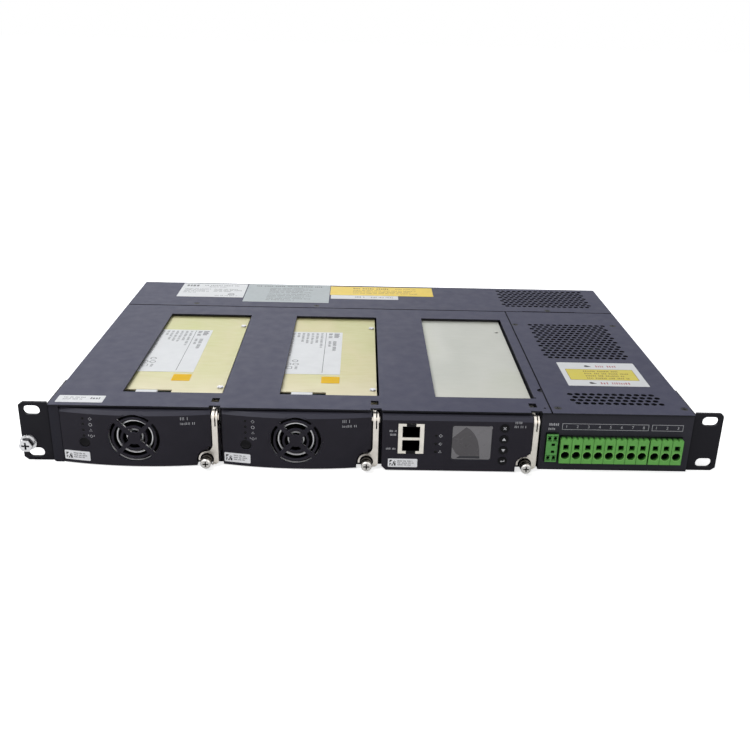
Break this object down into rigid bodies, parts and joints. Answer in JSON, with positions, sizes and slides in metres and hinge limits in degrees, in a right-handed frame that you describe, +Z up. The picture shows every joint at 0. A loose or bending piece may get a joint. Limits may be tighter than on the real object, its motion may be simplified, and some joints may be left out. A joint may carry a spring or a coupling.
{
  "type": "rack power shelf",
  "caption": "One-unit rack power shelf: folded tray with windowed cover, plug-in rectifiers and controller with ejector levers, and a front terminal panel.",
  "frame": {"origin": "middle of the rack's width, in the plane of the ears' back faces, at the underside", "axes": "+X to the right across the rack, +Y to the back, +Z up"},
  "size_m": [0.4843, 0.307, 0.0436],
  "materials": {
    "chassis_paint": "fine matt powder coat",
    "cover_paint": "fine matt powder coat",
    "ear_paint": "fine matt powder coat",
    "dark_screw": "blackened",
    "steel": "zinc plated",
    "nickel": "nickel plated, satin",
    "board_green": "solder mask",
    "socket_plastic": "moulded",
    "copper": "tinned copper edges",
    "terminal_green": "moulded",
    "bezel_plastic": "fine spark texture",
    "case_zinc": "zinc plated sheet",
    "chromate_1": "yellow chromate",
    "chromate_2": "yellow chromate",
    "pale_zinc": "pale chromate",
    "guard_wire": "bright wire",
    "fan_plastic": "moulded",
    "button_plastic": "moulded",
    "light_pipe": "smoked",
    "jack_shell": "nickel plated",
    "display_dark": "glass over a dark display",
    "label_white": "printed label film",
    "label_silver": "printed plate",
    "label_yellow": "printed label film",
    "print_dark": "printed ink",
    "print_light": "printed ink",
    "clear_film": "clear protective film"
  },
  "bodies": {
    "shelf": {"chassis_tray": "chassis_paint", "front_cover": "cover_paint", "rear_cover": "cover_paint", "right_cover": "cover_paint", "terminal_panel": "chassis_paint", "left_ear": "ear_paint", "right_ear": "ear_paint", "ear_screws": "steel", "cover_screws": "dark_screw", "ground_screw": "nickel", "ground_washers": "nickel", "bay_dividers": "chassis_paint", "crossbar": "chassis_paint", "backplane_board": "board_green", "backplane_sockets": "socket_plastic", "busbars": "copper", "distribution_board": "board_green", "load_terminals": "terminal_green", "input_terminals": "terminal_green", "signal_connector": "terminal_green"},
    "rectifier_1": {"bezel_1": "bezel_plastic", "case_1": "case_zinc", "top_plate_1": "chromate_1", "finger_guard_1": "guard_wire", "fan_frame_1": "fan_plastic", "power_board_1": "board_green", "plug_1": "socket_plastic", "lever_pin_1": "nickel", "light_pipes_1": "light_pipe"},
    "rectifier_1_ejector": {"lever_1": "nickel"},
    "rectifier_1_screw": {"captive_screw_1": "nickel"},
    "rectifier_1_fan": {"fan_rotor_1": "fan_plastic"},
    "rectifier_1_button": {"button_1": "button_plastic"},
    "rectifier_2": {"bezel_2": "bezel_plastic", "case_2": "case_zinc", "top_plate_2": "chromate_2", "finger_guard_2": "guard_wire", "fan_frame_2": "fan_plastic", "power_board_2": "board_green", "plug_2": "socket_plastic", "lever_pin_2": "nickel", "light_pipes_2": "light_pipe"},
    "rectifier_2_ejector": {"lever_2": "nickel"},
    "rectifier_2_screw": {"captive_screw_2": "nickel"},
    "rectifier_2_fan": {"fan_rotor_2": "fan_plastic"},
    "rectifier_2_button": {"button_2": "button_plastic"},
    "controller": {"controller_bezel": "bezel_plastic", "controller_case": "case_zinc", "controller_top_plate": "pale_zinc", "controller_board": "board_green", "network_jack": "jack_shell", "display": "display_dark", "controller_light_pipes": "light_pipe", "controller_lever_pin": "nickel"},
    "controller_ejector": {"controller_lever": "nickel"},
    "controller_screw": {"controller_captive_screw": "nickel"},
    "up_key_cap": {"up_key": "button_plastic"},
    "down_key_cap": {"down_key": "button_plastic"},
    "enter_key_cap": {"enter_key": "button_plastic"},
    "escape_key_cap": {"escape_key": "button_plastic"}
  },
  "joints": [
    {"name": "rectifier_1_slide", "type": "slide", "parent": "shelf", "child": "rectifier_1", "axis": [0, -1, 0], "range_m": [0, 0.2]},
    {"name": "rectifier_1_ejector_swing", "type": "hinge", "parent": "rectifier_1", "child": "rectifier_1_ejector", "pos_m": [-0.10775, -0.00295, 0.0355], "axis": [-1, 0, 0], "range_deg": [0, 75]},
    {"name": "rectifier_1_screw_press", "type": "slide", "parent": "rectifier_1_ejector", "child": "rectifier_1_screw", "axis": [0, 1, 0], "range_m": [0, 0.005], "stiffness_N_per_m": 250},
    {"name": "rectifier_1_fan_spin", "type": "hinge", "parent": "rectifier_1", "child": "rectifier_1_fan", "pos_m": [-0.1622, 0.008, 0.0218], "axis": [0, 1, 0], "continuous": true},
    {"name": "rectifier_1_button_press", "type": "slide", "parent": "rectifier_1", "child": "rectifier_1_button", "axis": [0, 1, 0], "range_m": [0, 0.0009], "stiffness_N_per_m": 400},
    {"name": "rectifier_2_slide", "type": "slide", "parent": "shelf", "child": "rectifier_2", "axis": [0, -1, 0], "range_m": [0, 0.2]},
    {"name": "rectifier_2_ejector_swing", "type": "hinge", "parent": "rectifier_2", "child": "rectifier_2_ejector", "pos_m": [0.00185, -0.00295, 0.0355], "axis": [-1, 0, 0], "range_deg": [0, 75]},
    {"name": "rectifier_2_screw_press", "type": "slide", "parent": "rectifier_2_ejector", "child": "rectifier_2_screw", "axis": [0, 1, 0], "range_m": [0, 0.005], "stiffness_N_per_m": 250},
    {"name": "rectifier_2_fan_spin", "type": "hinge", "parent": "rectifier_2", "child": "rectifier_2_fan", "pos_m": [-0.0526, 0.008, 0.0218], "axis": [0, 1, 0], "continuous": true},
    {"name": "rectifier_2_button_press", "type": "slide", "parent": "rectifier_2", "child": "rectifier_2_button", "axis": [0, 1, 0], "range_m": [0, 0.0009], "stiffness_N_per_m": 400},
    {"name": "controller_slide", "type": "slide", "parent": "shelf", "child": "controller", "axis": [0, -1, 0], "range_m": [0, 0.2]},
    {"name": "controller_ejector_swing", "type": "hinge", "parent": "controller", "child": "controller_ejector", "pos_m": [0.11145, -0.00295, 0.0355], "axis": [-1, 0, 0], "range_deg": [0, 75]},
    {"name": "controller_screw_press", "type": "slide", "parent": "controller_ejector", "child": "controller_screw", "axis": [0, 1, 0], "range_m": [0, 0.005], "stiffness_N_per_m": 250},
    {"name": "up_key_press", "type": "slide", "parent": "controller", "child": "up_key_cap", "axis": [0, 1, 0], "range_m": [0, 0.0008], "stiffness_N_per_m": 400},
    {"name": "down_key_press", "type": "slide", "parent": "controller", "child": "down_key_cap", "axis": [0, 1, 0], "range_m": [0, 0.0008], "stiffness_N_per_m": 400},
    {"name": "enter_key_press", "type": "slide", "parent": "controller", "child": "enter_key_cap", "axis": [0, 1, 0], "range_m": [0, 0.0008], "stiffness_N_per_m": 400},
    {"name": "escape_key_press", "type": "slide", "parent": "controller", "child": "escape_key_cap", "axis": [0, 1, 0], "range_m": [0, 0.0008], "stiffness_N_per_m": 400}
  ]
}
